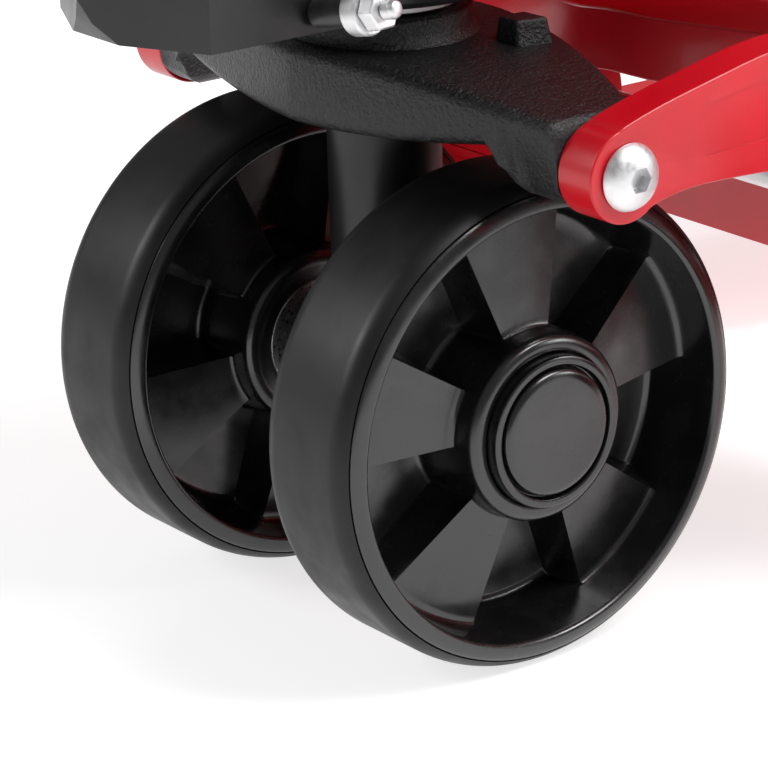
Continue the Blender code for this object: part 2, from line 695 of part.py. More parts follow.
def handle_top():
    """Tube, head casting and the closed grip loop."""
    tube = turned([(14, 640), (17, 640), (17, 70.3), (14, 70.3)], along(0), Vector(along(1)) - Vector(along(0)), 20)
    part(tube, "handle_tube", "red_paint", "handle_pivot")
    neck = rod(along(600), along(668), 24, 20, 21)
    head_low, head_high = along(655), along(700)
    neck_block = join(neck, rod(head_low, head_high, 21, 20, 19))
    cut(neck_block, rod(along(590), along(640.3), 17.4, 20), rod(along(630), along(720), 4, 12))
    part(neck_block, "handle_head", "black_grip", "handle_pivot")


def grip_loop():
    """Closed loop with rounded corners, wider at the top, that sits on the head."""
    corners = [(-20, 712), (-98, 800), (-84, 856), (84, 856), (98, 800), (20, 712)]
    reach = 24.0
    points = []
    for i, corner in enumerate(corners):
        here = Vector(corner)
        before = Vector(corners[i - 1])
        after = Vector(corners[(i + 1) % len(corners)])
        a = here + (before - here).normalized() * reach * 0.8
        b = here + (after - here).normalized() * reach * 0.8
        for t in (0.0, 0.33, 0.67, 1.0):
            points.append(a * (1 - t) ** 2 + here * 2 * t * (1 - t) + b * t ** 2)
    path = [along(v, 0.0, y) for y, v in points]
    part(pipe(path, 11, 2, closed=True), "grip_loop", "black_grip", "handle_pivot")


def controls():
    """Control lever inside the grip, on a short pin just above the loop's lower bar."""
    low = along(CONTROL)
    high = along(CONTROL + 64)
    lever = slab(link_outline((low[0], low[2]), 7, (high[0], high[2]), 5), "Y", -5, 5)
    pad = rod(along(CONTROL + 46, 0, -16), along(CONTROL + 46, 0, 16), 5, 16)
    join(lever, across(low[0], low[2], -14, 14, 5, 16), pad)
    part(lever, "control_lever", "red_paint", "control_pivot")


# ---------------------------------------------------------------- assembly

def make_pivots():
    pivot("truck")
    pivot("lift_pivot", SHAFT[0], 0, SHAFT[1])
    pivot("bracket_pivot", PIVOT[0], 0, PIVOT[1])
    pivot("steer_axis")
    pivot("handle_pivot", HANDLE[0], 0, HANDLE[1])
    press = polar(HANDLE, PUMP_ARM, PUMP_ANGLE)
    pivot("pump_roller_pivot", press[0], 0, press[1])
    pivot("release_pivot", 20, 37, 318)
    control = along(CONTROL)
    pivot("control_pivot", control[0], 0, control[2])
    low = polar(SHAFT, LEVER_L, 270 - LEVER_ANGLE)
    roller = polar(TIP, BRACKET_L, BRACKET_ANGLE)
    for name, side in SIDES.items():
        pivot("rod_pivot_" + name, low[0], side * 243, low[1])
        pivot("tip_pivot_" + name, TIP[0], side * FORK_Y, TIP[1])
        pivot("roller_pivot_" + name, roller[0], side * FORK_Y, roller[1])
        pivot("entry_pivot_" + name, ENTRY[0], side * FORK_Y, ENTRY[1])
        pivot("wheel_pivot_" + name, 0, side * WHEEL_Y, 90)


def main():
    make_pivots()
    head()
    for name, side in SIDES.items():
        fork(name, side)
        crank_arm(name, side)
        rod_lever(name, side)
        push_rod(name, side)
        roller_bracket(name, side)
        wheel(name, side)
    part(across(*SHAFT, -SHAFT_END, SHAFT_END, SHAFT_R, 24), "torsion_shaft", "steel", "lift_pivot")
    base_bracket()
    pivot_screws()
    pump_body()
    front_cover()
    pump_details()
    ram()
    plunger()
    release_lever()
    axle()
    handle_base()
    handle_top()
    grip_loop()
    controls()


main()
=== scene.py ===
"""Looks of the hand pallet truck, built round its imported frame."""
import json
import math

import bmesh
import bpy
from mathutils import Matrix, Vector


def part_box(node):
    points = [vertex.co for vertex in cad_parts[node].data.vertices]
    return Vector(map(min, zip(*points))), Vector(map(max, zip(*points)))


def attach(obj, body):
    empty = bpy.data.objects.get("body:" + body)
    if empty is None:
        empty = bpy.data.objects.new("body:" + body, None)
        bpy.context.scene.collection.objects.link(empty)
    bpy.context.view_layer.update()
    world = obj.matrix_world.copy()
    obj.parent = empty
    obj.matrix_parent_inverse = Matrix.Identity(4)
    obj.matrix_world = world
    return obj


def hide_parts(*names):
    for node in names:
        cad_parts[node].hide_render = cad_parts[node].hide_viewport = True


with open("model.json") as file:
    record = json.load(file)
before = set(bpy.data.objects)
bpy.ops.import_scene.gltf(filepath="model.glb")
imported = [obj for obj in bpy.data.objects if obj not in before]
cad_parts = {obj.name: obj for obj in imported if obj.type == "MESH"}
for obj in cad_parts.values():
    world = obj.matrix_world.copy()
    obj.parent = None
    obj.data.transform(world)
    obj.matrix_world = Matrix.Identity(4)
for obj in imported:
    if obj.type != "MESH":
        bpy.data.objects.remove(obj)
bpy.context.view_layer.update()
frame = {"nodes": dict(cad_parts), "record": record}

MM = 0.001
BODY_OF = {node: body for body, nodes in frame["record"]["behaviour"]["bodies"].items() for node in nodes}
SLOT_OF = {row["node"]: row["material_slot"] for row in frame["record"]["subparts"]}
SIDES = {"right": -1, "left": 1}


def centre_of(node):
    """Middle of a CAD node's box."""
    low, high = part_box(node)
    return (low + high) / 2


KING = Vector((centre_of("thrust_bearing").x, 0, 0))      # foot of the steering axis
SHAFT_AT = (centre_of("torsion_shaft") - KING) / MM
SHAFT = (SHAFT_AT.x, SHAFT_AT.z)
SHAFT_R = (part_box("torsion_shaft")[1].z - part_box("torsion_shaft")[0].z) / 2 / MM


def at(x, y, z):
    """Point given in millimetres from the foot of the steering axis."""
    return KING + Vector((x, y, z)) * MM


# ---------------------------------------------------------------- materials

def shader_of(name, colour, roughness, metallic=0.0, coat=0.0, gloss=0.5):
    """New material with the even values of its Principled shader set."""
    made = bpy.data.materials.new(name)
    made.use_nodes = True
    shader = made.node_tree.nodes["Principled BSDF"]
    shader.inputs["Base Color"].default_value = (*colour, 1.0)
    shader.inputs["Roughness"].default_value = roughness
    shader.inputs["Metallic"].default_value = metallic
    shader.inputs["Coat Weight"].default_value = coat
    shader.inputs["Coat Roughness"].default_value = 0.12
    shader.inputs["Specular IOR Level"].default_value = gloss
    return made


def noise(tree, scale, detail=4.0, roughness=0.55, stretch=None):
    """Noise on object coordinates, in cycles per metre; stretch scales it along x, y and z."""
    coords = tree.nodes.new("ShaderNodeTexCoord")
    texture = tree.nodes.new("ShaderNodeTexNoise")
    texture.inputs["Scale"].default_value = scale
    texture.inputs["Detail"].default_value = detail
    texture.inputs["Roughness"].default_value = roughness
    source = coords.outputs["Object"]
    if stretch:
        mapping = tree.nodes.new("ShaderNodeMapping")
        mapping.inputs["Scale"].default_value = stretch
        tree.links.new(source, mapping.inputs["Vector"])
        source = mapping.outputs["Vector"]
    tree.links.new(source, texture.inputs["Vector"])
    return texture.outputs["Fac"]


def ramp(tree, value, low, high, start=0.3, end=0.7):
    """Two-stop colour ramp over a value."""
    node = tree.nodes.new("ShaderNodeValToRGB")
    node.color_ramp.elements[0].position = start
    node.color_ramp.elements[1].position = end
    node.color_ramp.elements[0].color = (*low, 1.0)
    node.color_ramp.elements[1].color = (*high, 1.0)
    tree.links.new(value, node.inputs["Fac"])
    return node.outputs["Color"]


def spread(tree, value, low, high):
    """Map a 0..1 value to a range."""
    node = tree.nodes.new("ShaderNodeMapRange")
    node.inputs["From Min"].default_value = 0.3
    node.inputs["From Max"].default_value = 0.7
    node.inputs["To Min"].default_value = low
    node.inputs["To Max"].default_value = high
    tree.links.new(value, node.inputs["Value"])
    return node.outputs["Result"]


def mix(tree, factor, low, high):
    """Colour mix driven by a factor."""
    node = tree.nodes.new("ShaderNodeMix")
    node.data_type = "RGBA"
    tree.links.new(factor, node.inputs["Factor"])
    sockets = [s for s in node.inputs if s.type == "RGBA"]
    for value, socket in zip((low, high), sockets):
        if isinstance(value, tuple):
            socket.default_value = (*value, 1.0)
        else:
            tree.links.new(value, socket)
    return [s for s in node.outputs if s.type == "RGBA"][0]


def bump(tree, heights, shader):
    """Stack bumps: each height is (value, strength, distance in metres)."""
    last = None
    for value, strength, distance in heights:
        node = tree.nodes.new("ShaderNodeBump")
        node.inputs["Strength"].default_value = strength
        node.inputs["Distance"].default_value = distance
        tree.links.new(value, node.inputs["Height"])
        if last:
            tree.links.new(last, node.inputs["Normal"])
        last = node.outputs["Normal"]
    tree.links.new(last, shader.inputs["Normal"])


def edge_wear_and_highlight(tree):
    """Value that is high on outer edges, broken up by noise; it lightens edges as paint wear and as a painted
    edge highlight.
    """
    geometry = tree.nodes.new("ShaderNodeNewGeometry")
    edges = tree.nodes.new("ShaderNodeMapRange")
    edges.inputs["From Min"].default_value = 0.53
    edges.inputs["From Max"].default_value = 0.60
    tree.links.new(geometry.outputs["Pointiness"], edges.inputs["Value"])
    patches = spread(tree, noise(tree, 60.0), 0.0, 1.0)
    product = tree.nodes.new("ShaderNodeMath")
    product.operation = "MULTIPLY"
    tree.links.new(edges.outputs["Result"], product.inputs[0])
    tree.links.new(patches, product.inputs[1])
    return product.outputs["Value"]


def painted(name, colour, worn_and_highlight, roughness, peel=0.25, coat=0.0):
    """Paint over metal: slight tone drift, orange peel, and lighter edges that are partly wear and partly a
    painted edge highlight.
    """
    made = shader_of(name, colour, roughness, coat=coat)
    tree = made.node_tree
    shader = tree.nodes["Principled BSDF"]
    dark = tuple(c * 0.86 for c in colour)
    light = tuple(min(1.0, c * 1.12) for c in colour)
    base = ramp(tree, noise(tree, 14.0), dark, light)
    # Outer edges take the lighter colour: partly paint wear, partly a painted edge highlight.
    base = mix(tree, edge_wear_and_highlight(tree), base, worn_and_highlight)
    tree.links.new(base, shader.inputs["Base Color"])
    sheen = spread(tree, noise(tree, 45.0), roughness - 0.06, roughness + 0.08)
    tree.links.new(sheen, shader.inputs["Roughness"])
    bump(tree, [(noise(tree, 900.0, 2.0), peel, 0.00025)], shader)
    return made


def cast_iron(name, colour, worn_and_highlight):
    """Sand-cast surface under black paint: coarse skin and pits, with the high spots of the skin painted
    lighter as a painted highlight.
    """
    made = shader_of(name, colour, 0.5)
    tree = made.node_tree
    shader = tree.nodes["Principled BSDF"]
    skin = noise(tree, 620.0, 4.0, 0.62)
    lumps = noise(tree, 130.0, 3.0)
    # The skin's high spots, which the bump raises, are painted lighter: a painted highlight on the grain.
    base = ramp(tree, skin, tuple(c * 0.6 for c in colour), tuple(c * 1.7 for c in colour), 0.35, 0.68)
    # Outer edges take the lighter colour: partly paint wear, partly a painted edge highlight.
    base = mix(tree, edge_wear_and_highlight(tree), base, worn_and_highlight)
    tree.links.new(base, shader.inputs["Base Color"])
    tree.links.new(spread(tree, skin, 0.26, 0.44), shader.inputs["Roughness"])
    bump(tree, [(lumps, 0.35, 0.0012), (skin, 1.0, 0.0009)], shader)
    return made


def moulded(name, colour, roughness, grain, strength=0.3, gloss=0.5):
    """Moulded plastic or rubber: even tone, fine grain and faint handling marks."""
    made = shader_of(name, colour, roughness, gloss=gloss)
    tree = made.node_tree
    shader = tree.nodes["Principled BSDF"]
    light = tuple(min(1.0, c * 1.25) for c in colour)
    tree.links.new(ramp(tree, noise(tree, 22.0, 6.0), colour, light), shader.inputs["Base Color"])
    sheen = spread(tree, noise(tree, 70.0), roughness - 0.07, roughness + 0.09)
    tree.links.new(sheen, shader.inputs["Roughness"])
    bump(tree, [(noise(tree, grain, 3.0), strength, 0.0002)], shader)
    return made


def bare_metal(name, colour, roughness, lines=0.25):
    """Plated or machined metal with fine turned marks."""
    made = shader_of(name, colour, roughness, metallic=1.0)
    tree = made.node_tree
    shader = tree.nodes["Principled BSDF"]
    dark = tuple(c * 0.93 for c in colour)
    tree.links.new(ramp(tree, noise(tree, 55.0, 5.0), dark, colour), shader.inputs["Base Color"])
    marks = noise(tree, 600.0, 3.0, 0.5, stretch=(1.0, 0.12, 1.0))
    tree.links.new(spread(tree, marks, roughness - 0.08, roughness + 0.12), shader.inputs["Roughness"])
    bump(tree, [(marks, lines, 0.0001)], shader)
    return made


# The second colour of painted and cast materials is the lighter edge colour: partly wear, partly a painted
# edge highlight.
MATERIALS = {
    "red_paint": painted("red_paint", (0.60, 0.0015, 0.011), (0.66, 0.02, 0.03), 0.34, 0.10, coat=0.25),
    "black_casting": cast_iron("black_casting", (0.0045, 0.0045, 0.005), (0.016, 0.016, 0.017)),
    "black_paint": painted("black_paint", (0.008, 0.008, 0.009), (0.04, 0.04, 0.04), 0.36),
    "grey_casting": painted("grey_casting", (0.0050, 0.0050, 0.0053), (0.02, 0.02, 0.02), 0.34, 0.12),
    "wheel_core": moulded("wheel_core", (0.0035, 0.0035, 0.004), 0.24, 900.0, 0.05, 0.85),
    "tread": moulded("tread", (0.0050, 0.0050, 0.0053), 0.42, 500.0, 0.08, 0.36),
    "zinc": bare_metal("zinc", (0.80, 0.80, 0.81), 0.44, 0.12),
    "steel": bare_metal("steel", (0.62, 0.62, 0.63), 0.30),
    "chrome": bare_metal("chrome", (0.90, 0.90, 0.91), 0.12, 0.05),
    "nylon": moulded("nylon", (0.74, 0.70, 0.60), 0.45, 500.0),
    "black_grip": moulded("black_grip", (0.014, 0.014, 0.015), 0.5, 900.0, 0.4),
    "red_plastic": moulded("red_plastic", (0.55, 0.012, 0.012), 0.32, 700.0, 0.15),
}


# ---------------------------------------------------------------- shapes

FILLET_SHARE = 0.45      # the most of an outline's side that one rounded corner takes
WELD = 0.02 * MM         # corners nearer than this are one
FLAT = math.radians(0.8)  # faces that turn less than this are joined up


def finished(obj, body, slot, nodes=(), sharp=32.0, flat=False):
    """Give a piece its material and its body, and hide the CAD nodes that it stands for."""
    if obj.name not in bpy.context.scene.collection.objects:
        bpy.context.scene.collection.objects.link(obj)
    obj.data.materials.clear()
    obj.data.materials.append(MATERIALS[slot])
    obj.data.shade_smooth()
    obj.data.set_sharp_from_angle(angle=math.radians(sharp))
    if flat:
        normals = obj.modifiers.new("normals", "WEIGHTED_NORMAL")
        normals.keep_sharp = True
        normals.weight = 100
    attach(obj, body)
    if nodes:
        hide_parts(*nodes)
    return obj


def from_bmesh(name, bm):
    """Object from an edit mesh, with its faces turned outwards."""
    bmesh.ops.recalc_face_normals(bm, faces=bm.faces)
    mesh = bpy.data.meshes.new(name)
    bm.to_mesh(mesh)
    bm.free()
    obj = bpy.data.objects.new(name, mesh)
    bpy.context.scene.collection.objects.link(obj)
    return obj


def loft(name, loops, cyclic=False):
    """Closed skin through loops of equally many points; open ends get a cap."""
    bm = bmesh.new()
    rows = [[bm.verts.new(point) for point in loop] for loop in loops]
    count = len(rows[0])
    pairs = list(zip(rows, rows[1:]))
    if cyclic:
        pairs.append((rows[-1], rows[0]))
    for first, second in pairs:
        for i in range(count):
            j = (i + 1) % count
            bm.faces.new((first[i], first[j], second[j], second[i]))
    if not cyclic:
        bm.faces.new(rows[0])
        bm.faces.new(rows[-1])
    return from_bmesh(name, bm)


def fillet(points, radius, steps=4):
    """Round the corners of a closed outline with short curves."""
    made = []
    count = len(points)
    for i, corner in enumerate(points):
        here = Vector(corner)
        before = Vector(points[i - 1])
        after = Vector(points[(i + 1) % count])
        reach_a = min(radius, (before - here).length * FILLET_SHARE)
        reach_b = min(radius, (after - here).length * FILLET_SHARE)
        a = here + (before - here).normalized() * reach_a
        b = here + (after - here).normalized() * reach_b
        for k in range(steps + 1):
            t = k / steps
            made.append(tuple(a * (1 - t) ** 2 + here * (2 * t * (1 - t)) + b * t ** 2))
    return made


def basis(axis):
    """Matrix that turns +Z to an axis."""
    return Vector(axis).to_track_quat("Z", "Y").to_matrix()


def turned(name, profile, centre, axis=(0, 0, 1), steps=128, ring=False):
    """Turned piece from (radius, height) points in millimetres about a centre."""
    turn = basis(axis)
    loops = []
    for radius, height in profile:
        loop = []
        for i in range(steps):
            angle = 2 * math.pi * i / steps
            local = Vector((radius * math.cos(angle), radius * math.sin(angle), height)) * MM
            loop.append(centre + turn @ local)
        loops.append(loop)
    return loft(name, loops, cyclic=ring)


PLANES = {
    "X": lambda a, b, c: (c, a, b),
    "Y": lambda a, b, c: (a, c, b),
    "Z": lambda a, b, c: (a, b, c),
}


def plate(name, outline, normal, low, high, edge=1.0, segments=3):
    """Flat outline made solid between two levels, with rounded edges; all in millimetres."""
    place = PLANES[normal]
    loops = [[at(*place(a, b, level)) for a, b in outline] for level in (low, high)]
    obj = loft(name, loops)
    soften(obj, edge, segments)
    return obj


def soften(obj, width, segments=3, angle=38.0):
    """Round the edges that turn by more than angle; width in millimetres."""
    modifier = obj.modifiers.new("edges", "BEVEL")
    modifier.width = width * MM
    modifier.segments = segments
    modifier.limit_method = "ANGLE"
    modifier.angle_limit = math.radians(angle)


def cut(obj, *cutters):
    """Cut with closed meshes, then remove them."""
    for cutter in cutters:
        modifier = obj.modifiers.new("cut", "BOOLEAN")
        modifier.operation = "DIFFERENCE"
        modifier.solver = "EXACT"
        modifier.object = cutter
    settle(obj)
    for cutter in cutters:
        bpy.data.objects.remove(cutter, do_unlink=True)
    return obj


def settle(obj):
    """Turn a piece's modifiers into plain mesh."""
    graph = bpy.context.evaluated_depsgraph_get()
    mesh = bpy.data.meshes.new_from_object(obj.evaluated_get(graph))
    obj.modifiers.clear()
    obj.data = mesh
    return obj


def arc(centre, radius, start, end, steps):
    """Points on an arc between two directions in degrees."""
    points = []
    for i in range(steps + 1):
        angle = math.radians(start + (end - start) * i / steps)
        points.append((centre[0] + radius * math.cos(angle), centre[1] + radius * math.sin(angle)))
    return points


def refine(node, edge):
    """Same shape as a CAD node, with its flat faces joined up and its edges rounded."""
    source = frame["nodes"][node]
    mesh = source.data.copy()
    obj = bpy.data.objects.new(node + "_finish", mesh)
    bpy.context.scene.collection.objects.link(obj)
    bm = bmesh.new()
    bm.from_mesh(mesh)
    bmesh.ops.remove_doubles(bm, verts=bm.verts, dist=WELD)
    bmesh.ops.dissolve_limit(bm, angle_limit=FLAT, verts=bm.verts, edges=bm.edges)
    bm.to_mesh(mesh)
    bm.free()
    soften(obj, edge, 2, 30.0)
    return finished(obj, BODY_OF[node], SLOT_OF[node], [node], flat=True)


# ---------------------------------------------------------------- wheels

HALF = 25.0              # half of the wheel's width
SHOULDER_CENTRE = 80.0
SHOULDER = 10.0
SPOKE_PHASE = 92.7       # direction of one raised spoke on the outer face, degrees
SPOKE_EDGE = 16.8        # half of a raised spoke's top, degrees
SPOKE_FOOT = 20.8        # where its drafted side wall meets the floor, degrees
SPOKE_PITCH = 72.0       # from one raised spoke to the next, degrees
FLOOR = -6.0             # level of the recess between spokes
ROOT_R = 34.0            # radius and level of a spoke's top where it leaves the boss
ROOT_TOP = 14.6
SPOKE_RUN = 44.0         # length of a spoke and how far its top falls over it
SPOKE_FALL = 7.1
CORE_BORE = 23.8
CAP_SEAT = 28.1
CAP_DEPTH = 18.7


def spoke_top(r):
    """Level of a raised spoke, sloping down from the boss to the rim."""
    return ROOT_TOP - SPOKE_FALL * (r - ROOT_R) / SPOKE_RUN


def shoulder(angles):
    """Rounded shoulder of the tyre as (radius, level) points at the given directions."""
    return [(SHOULDER_CENTRE + SHOULDER * math.cos(math.radians(a)),
             HALF - SHOULDER + SHOULDER * math.sin(math.radians(a))) for a in angles]


def face_profiles():
    """(raised, recessed) sections of a wheel face from the hub's mouth to the rim's edge."""
    hub = [(CAP_SEAT, 23.6), (28.3, 24.5), (29.0, 25.0), (30.9, 25.0), (32.4, 24.6), (33.6, 23.7),
           (34.3, 22.2)]
    boss = [(34.5, 20.5), (34.7, 17.0)]
    slope = [(r, spoke_top(r)) for r in (36.2, 38, 44, 52, 60, 68, 73.6, 76.0)]
    raised = [(34.8, 15.6), (35.3, 14.7)] + slope + [(77.3, 8.7), (77.9, 10.6)]
    recessed = [(34.9, 10), (35.1, 2.0), (35.4, -3.6), (36.2, -5.4), (37.8, FLOOR), (44, FLOOR), (56, FLOOR),
                (66, FLOOR), (71.4, FLOOR), (73.2, FLOOR + 0.5), (74.2, FLOOR + 1.7), (74.7, FLOOR + 4.0)]
    rim = [(79.2, 22.6), (79.6, 24.2), (80.6, 25.0)]
    outside = rim + shoulder((82, 74, 66, 60, 55.5)) + [(85.9, 22.9), (85.9, 22.2)]
    return hub + boss + raised + outside, hub + boss + recessed + outside


def between(high, low, share):
    """Section that lies between two others of equally many points."""
    return [(a[0] + (b[0] - a[0]) * (1 - share), a[1] + (b[1] - a[1]) * (1 - share))
            for a, b in zip(high, low)]


def raised_share(degrees):
    """1 on a raised spoke, 0 in a recess, rounded at the top and foot of the side wall."""
    away = abs((degrees + SPOKE_PITCH / 2) % SPOKE_PITCH - SPOKE_PITCH / 2)
    t = (SPOKE_FOOT - away) / (SPOKE_FOOT - SPOKE_EDGE)
    t = max(0.0, min(1.0, t))
    return t * t * (3 - 2 * t) * 0.35 + t * 0.65


def wheel_angles():
    """Angles of the core's mesh, close together over the side walls of both faces."""
    wall = [SPOKE_EDGE - 0.5, SPOKE_EDGE, SPOKE_EDGE + 0.35, SPOKE_EDGE + 0.9]
    wall += [(SPOKE_EDGE + SPOKE_FOOT) / 2]
    wall += [SPOKE_FOOT - 0.9, SPOKE_FOOT - 0.35, SPOKE_FOOT, SPOKE_FOOT + 0.5]
    angles = set()
    for i in range(5):
        for offset in wall:
            for sign in (-1, 1):
                angles.add(round((SPOKE_PITCH * i + sign * offset) % 360, 3))
                angles.add(round((SPOKE_PITCH * (i + 0.5) + sign * offset) % 360, 3))
        for k in range(24):
            angles.add(round((SPOKE_PITCH * i + SPOKE_PITCH / 24 * k) % 360, 3))
    return sorted(angles)


def wheel_core(name, side):
    """Core with spokes raised alternately on the two faces."""
    centre = centre_of("wheel_tread_" + name)
    high, low = face_profiles()
    loops = []
    for degrees in wheel_angles():
        front = between(high, low, raised_share(degrees))
        back = between(high, low, raised_share(degrees + SPOKE_PITCH / 2))
        bore = [(CORE_BORE, -24.6), (CORE_BORE, CAP_DEPTH), (CAP_SEAT, CAP_DEPTH)]
        section = front + [(r, -h) for r, h in reversed(back) if r > CAP_SEAT] + bore
        angle = math.radians(SPOKE_PHASE + degrees)
        loops.append([centre + Vector((r * math.cos(angle), side * h, r * math.sin(angle))) * MM
                      for r, h in section])
    obj = loft("wheel_core_%s_finish" % name, loops, cyclic=True)
    finished(obj, "wheel_" + name, "wheel_core", ["wheel_core_" + name], 50.0)


def wheel_tread(name, side):
    """Solid tread with rounded shoulders and a fine joint line to the core."""
    node = "wheel_tread_" + name
    half = [(86.25, 22.0), (86.25, 22.45)] + shoulder(range(50, -1, -5))
    profile = half + [(r, -h) for r, h in reversed(half)]
    obj = turned(node + "_finish", profile, centre_of(node), (0, side, 0), 256, True)
    finished(obj, "wheel_" + name, "tread", [node], 40.0)


def hub_cap(name, side):
    """Pressed cap: raised outer ring, groove and a low dome with a rounded edge."""
    dome = [(0.4, 30.3), (10, 30.3), (19.5, 30.25), (21.6, 30.0), (22.6, 29.4), (23.1, 28.6), (23.3, 27.4),
            (23.4, 26.2)]
    groove = [(23.8, 25.9), (24.2, 26.0), (24.4, 26.6)]
    outer = [(24.5, 28.2), (24.8, 28.9), (25.4, 29.2), (26.9, 29.2), (27.5, 28.9), (27.8, 28.2), (27.8, 19.0),
             (0.4, 19.0)]
    centre = centre_of("wheel_tread_" + name)
    obj = turned("hub_cap_%s_finish" % name, dome + groove + outer, centre, (0, side, 0), 128)
    finished(obj, "wheel_" + name, "wheel_core", ["hub_cap_" + name], 40.0)


def bearing(node):
    """Ball bearing with two races, a shield between them and chamfered corners."""
    half = [(10.4, 6.3), (11.0, 7.0), (13.6, 7.0), (13.9, 6.3), (19.8, 6.3), (20.1, 7.0), (22.8, 7.0),
            (23.5, 6.3)]
    profile = half + [(r, -h) for r, h in reversed(half)]
    obj = turned(node + "_finish", profile, centre_of(node), (0, 1, 0), 96, True)
    finished(obj, BODY_OF[node], "steel", [node])


def wheels():
    """Both steering wheels with their caps and bearings."""
    for name, side in SIDES.items():
        wheel_core(name, side)
        wheel_tread(name, side)
        hub_cap(name, side)
        bearing("outer_bearing_" + name)
        bearing("inner_bearing_" + name)


# ---------------------------------------------------------------- base bracket and arms

PIVOT = (-1.3, 191.8)    # arm pivot, x and z, millimetres from the foot of the king axis
EAR_OUT = 117.7
ARM_IN = 118.0
ARM_OUT = 135.0
BORE_R = 21.4            # bore of the bracket round the king post
ARCH = 190.0             # underside of the beam on the king axis, and its rise to the ear
ARCH_RISE = 7.0
ARCH_END = 88.0
EAR_LOW = 179.5          # underside of the ear, and the width over which the arch comes down to it
EAR_DROP = 15.0
EAR_FROM = 92.0          # the section begins to close about the pivot here, and has closed 10 mm on
EAR_CLOSE = 10.0
EAR_HALF = 17.2          # half width of the ear at the pivot, and its depth below it
EAR_DEPTH = 14.5


def front_edge(y):
    """Front of the beam, bowed forward in the middle."""
    return -42 + 22 * (abs(y) / ARM_IN) ** 1.3


def back_edge(y):
    """Back of the beam, bowed back in the middle."""
    return 52 - 34 * (abs(y) / ARM_IN) ** 1.6


def top_of(y):
    """Top of the beam, crowned."""
    return 219 - 10 * (y / ARM_IN) ** 2


def underside(y):
    """Arched underside: level in the middle, rising outwards, then down into the ear."""
    away = abs(y)
    arch = ARCH + ARCH_RISE * min(1.0, away / ARCH_END) ** 2
    if away <= ARCH_END:
        return arch
    drop = min(1.0, (away - ARCH_END) / EAR_DROP)
    return arch - (arch - EAR_LOW) * (1 - math.cos(drop * math.pi)) / 2


def rounded_section(x0, x1, z0, z1, radius, steps=5):
    """Rounded rectangle in the x-z plane."""
    radius = min(radius, (z1 - z0) * FILLET_SHARE, (x1 - x0) * FILLET_SHARE)
    points = []
    for cx, cz, start in ((x1 - radius, z1 - radius, 0), (x0 + radius, z1 - radius, 90),
                          (x0 + radius, z0 + radius, 180), (x1 - radius, z0 + radius, 270)):
        points += arc((cx, cz), radius, start, start + 90, steps)
    return points


def bracket_beam():
    """Bowed beam of the base bracket, lofted from side to side, narrowing to a round ear at each end."""
    stations = [EAR_OUT * i / 60 for i in range(-60, 61)]
    loops = []
    for y in stations:
        inset = 1.6 * max(0.0, (abs(y) - EAR_OUT + 2.2) / 2.2) ** 2
        section = rounded_section(front_edge(y) + inset, back_edge(y) - inset, underside(y) + inset,
                                  top_of(y) - inset, 5.0)
        if abs(y) > EAR_FROM:
            section = pull_to_ear(section, y)
        loops.append([at(x, y, z) for x, z in section])
    return loft("base_bracket_finish", loops)


def pull_to_ear(section, y):
    """Draw the lower half of a section in to a half round about the arm pivot."""
    share = min(1.0, (abs(y) - EAR_FROM) / EAR_CLOSE)
    made = []
    for x, z in section:
        if z < PIVOT[1]:
            depth = min(1.0, (PIVOT[1] - z) / EAR_DEPTH)
            half = EAR_HALF * math.sqrt(max(0.02, 1 - depth ** 2))
            wanted = PIVOT[0] + max(-half, min(half, x - PIVOT[0]))
            x = x + (wanted - x) * share
        made.append((x, z))
    return made


def base_bracket():
    """Casting: beam with its king post bore, round boss and two steering stops."""
    beam = bracket_beam()
    cut(beam, turned("bore", [(BORE_R, -60), (BORE_R, 60)], at(0, 0, 210), steps=96))
    for side in SIDES.values():
        thread = turned("thread", [(8.3, -14), (8.3, 14)], at(PIVOT[0], side * 108, PIVOT[1]), (0, 1, 0), 48)
        cut(beam, thread)
    finished(beam, "bracket", "black_casting", ["base_bracket"], 50.0)
    profile = [(BORE_R, 200), (BORE_R, 227.4), (22.0, 228.0), (31.4, 228.0), (32.4, 227.6), (33.0, 226.6),
               (33.2, 222.5), (34.2, 219.8), (36.6, 217.6), (39.5, 216.6), (39.5, 200)]
    boss = turned("king_boss", profile, at(0, 0, 0), steps=128, ring=True)
    finished(boss, "bracket", "black_casting", (), 50.0)
    for name, side in SIDES.items():
        foot = fillet([(18.5, side * 38.5), (35, side * 39), (36, side * 57), (18.5, side * 54)], 2.0)
        stop = plate("steering_stop_" + name, foot, "Z", 206, 226, 2.0)
        taper(stop, 26.0, side * 44.5, 0.70)
        finished(stop, "bracket", "black_casting", (), 50.0, True)


def taper(obj, x, y, keep):
    """Draw the top of a block in towards its own middle."""
    middle = at(x, y, 0)
    top = max(vert.co.z for vert in obj.data.vertices)
    for vert in obj.data.vertices:
        if vert.co.z > top - 0.001:
            vert.co.x = middle.x + (vert.co.x - middle.x) * keep
            vert.co.y = middle.y + (vert.co.y - middle.y) * keep


